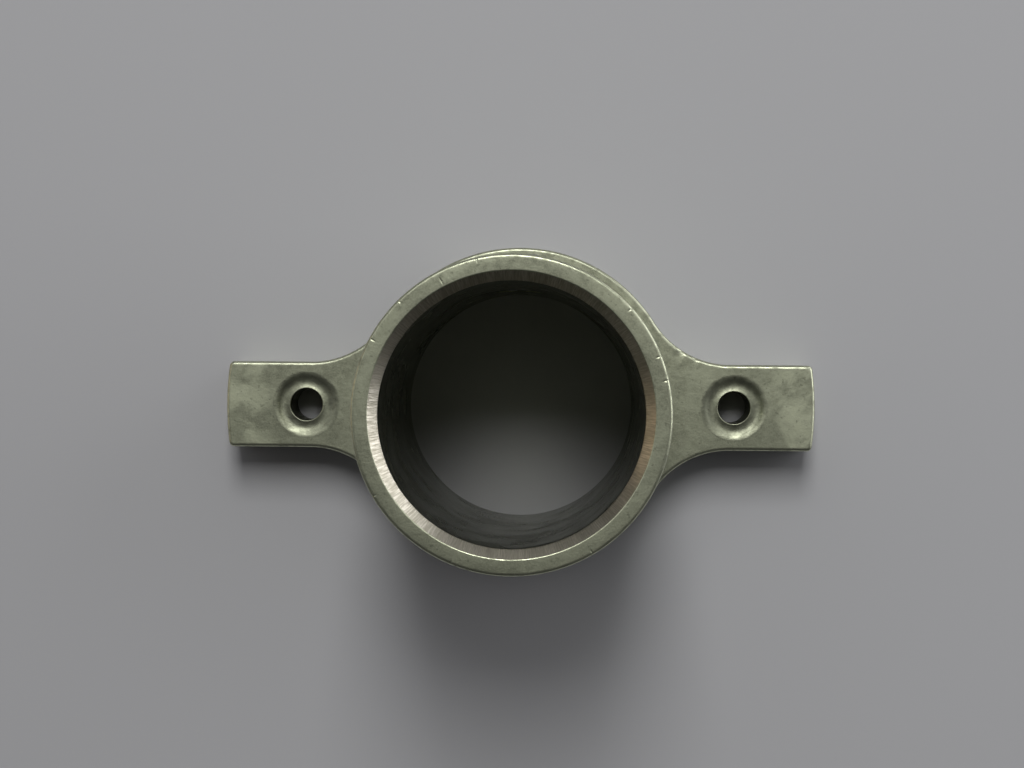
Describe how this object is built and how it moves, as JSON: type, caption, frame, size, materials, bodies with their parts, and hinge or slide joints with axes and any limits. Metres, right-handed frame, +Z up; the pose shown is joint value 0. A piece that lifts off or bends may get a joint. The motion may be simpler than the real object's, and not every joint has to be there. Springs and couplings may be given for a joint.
{
  "type": "stanchion base",
  "caption": "Deck stanchion base: a straight round socket on a round flange with two screw ears and a set screw in the wall.",
  "frame": {"origin": "on the socket's axis, level with the underside of the base plate", "axes": "+Z up the socket, +X through the two screw ears, +Y towards the set screw"},
  "size_m": [0.0826, 0.0444, 0.0508],
  "materials": {
    "cast_metal": "dull tumbled stainless steel, mottled grey",
    "socket_metal": "dull tumbled stainless steel with a turned mouth and bore",
    "weld_metal": "rippled fillet weld, tumbled",
    "screw_steel": "bright stainless steel"
  },
  "bodies": {
    "base": {"base_plate": "cast_metal", "socket_tube": "socket_metal", "weld_bead": "weld_metal"},
    "set_screw": {"set_screw": "screw_steel"}
  },
  "joints": [
    {"name": "set_screw_travel", "type": "slide", "parent": "base", "child": "set_screw", "axis": [0, -1, 0], "range_m": [-0.0019, 0.0016]}
  ]
}
